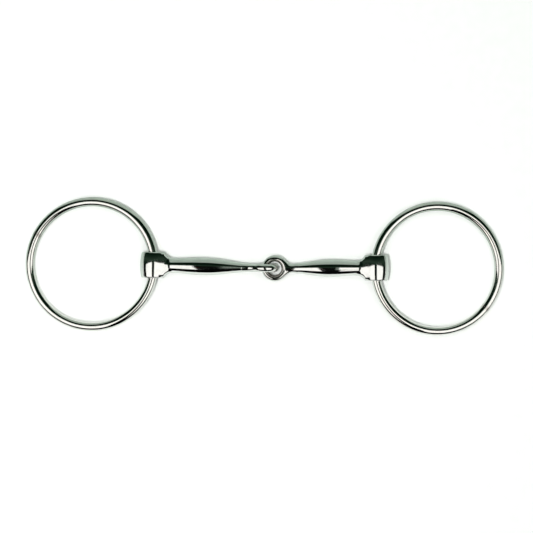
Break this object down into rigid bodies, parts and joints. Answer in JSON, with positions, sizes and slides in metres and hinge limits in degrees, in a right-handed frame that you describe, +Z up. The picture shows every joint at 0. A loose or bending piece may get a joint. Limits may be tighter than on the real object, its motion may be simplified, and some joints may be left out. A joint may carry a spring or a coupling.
{
  "type": "snaffle bit",
  "caption": "Single-jointed loose-ring snaffle bit: two tapered bars linked by interlocked eyes, with a plain round-wire ring running through a barrel-shaped butt at each end.",
  "frame": {"origin": "on the surface that the bit lies on, midway between the axes of the two ring holes", "axes": "+X along the mouthpiece from the left ring to the right ring, +Y along the ring holes, +Z up from the surface"},
  "size_m": [0.2704, 0.0754, 0.0145],
  "materials": {
    "mouthpiece_steel": "polished",
    "ring_steel": "polished"
  },
  "bodies": {
    "left_half": {"left_cannon": "mouthpiece_steel"},
    "right_half": {"right_cannon": "mouthpiece_steel"},
    "left_ring": {"left_ring": "ring_steel"},
    "right_ring": {"right_ring": "ring_steel"}
  },
  "joints": [
    {"name": "centre_fold", "type": "hinge", "parent": "left_half", "child": "right_half", "pos_m": [0.00577, -0.001, 0.00605], "axis": [0, 0, 1], "range_deg": [-125, 125]},
    {"name": "left_ring_swing", "type": "hinge", "parent": "left_half", "child": "left_ring", "pos_m": [-0.06275, 0, 0.00725], "axis": [0, 1, 0], "range_deg": [-115, 115]},
    {"name": "right_ring_swing", "type": "hinge", "parent": "right_half", "child": "right_ring", "pos_m": [0.06275, 0, 0.00725], "axis": [0, -1, 0], "range_deg": [-115, 115]}
  ]
}
